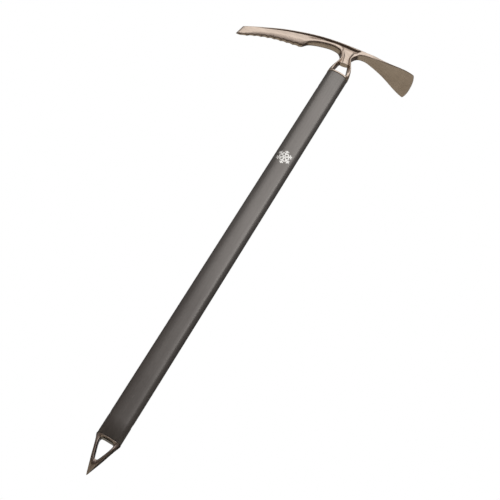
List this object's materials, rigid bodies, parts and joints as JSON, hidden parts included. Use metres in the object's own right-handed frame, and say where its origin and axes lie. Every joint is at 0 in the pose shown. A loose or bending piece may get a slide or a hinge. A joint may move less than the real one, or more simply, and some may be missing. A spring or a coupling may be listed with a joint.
{
  "type": "ice axe",
  "caption": "Classic straight mountaineering ice axe: oval tube shaft, one-piece cast head with toothed pick, flared adze and carabiner hole, and an open triangular spike",
  "frame": {"origin": "tip of the spike, from which the length of an ice axe is measured", "axes": "+Z along the shaft towards the head, -X the way the pick points, +X the way the adze points, Y across the flat sides of the shaft"},
  "size_m": [0.2398, 0.0544, 0.6608],
  "materials": {
    "head_steel": "investment cast steel, warm nickel-bronze tone, satin",
    "spike_steel": "investment cast steel, dark bronze tone, satin",
    "shaft_anodised": "satin grey anodised tube",
    "pin_steel": "bright drive pin",
    "adhesive": "cured epoxy",
    "foam": "closed-cell foam"
  },
  "bodies": {
    "root": {"Head_Casting": "head_steel", "Shaft_Tube": "shaft_anodised", "Spike_Casting": "spike_steel", "Head_Pin": "pin_steel", "Spike_Pin": "pin_steel", "Head_Bond": "adhesive", "Spike_Bond": "adhesive", "Head_Foam_Plug": "foam", "Spike_Foam_Plug": "foam"}
  },
  "joints": []
}
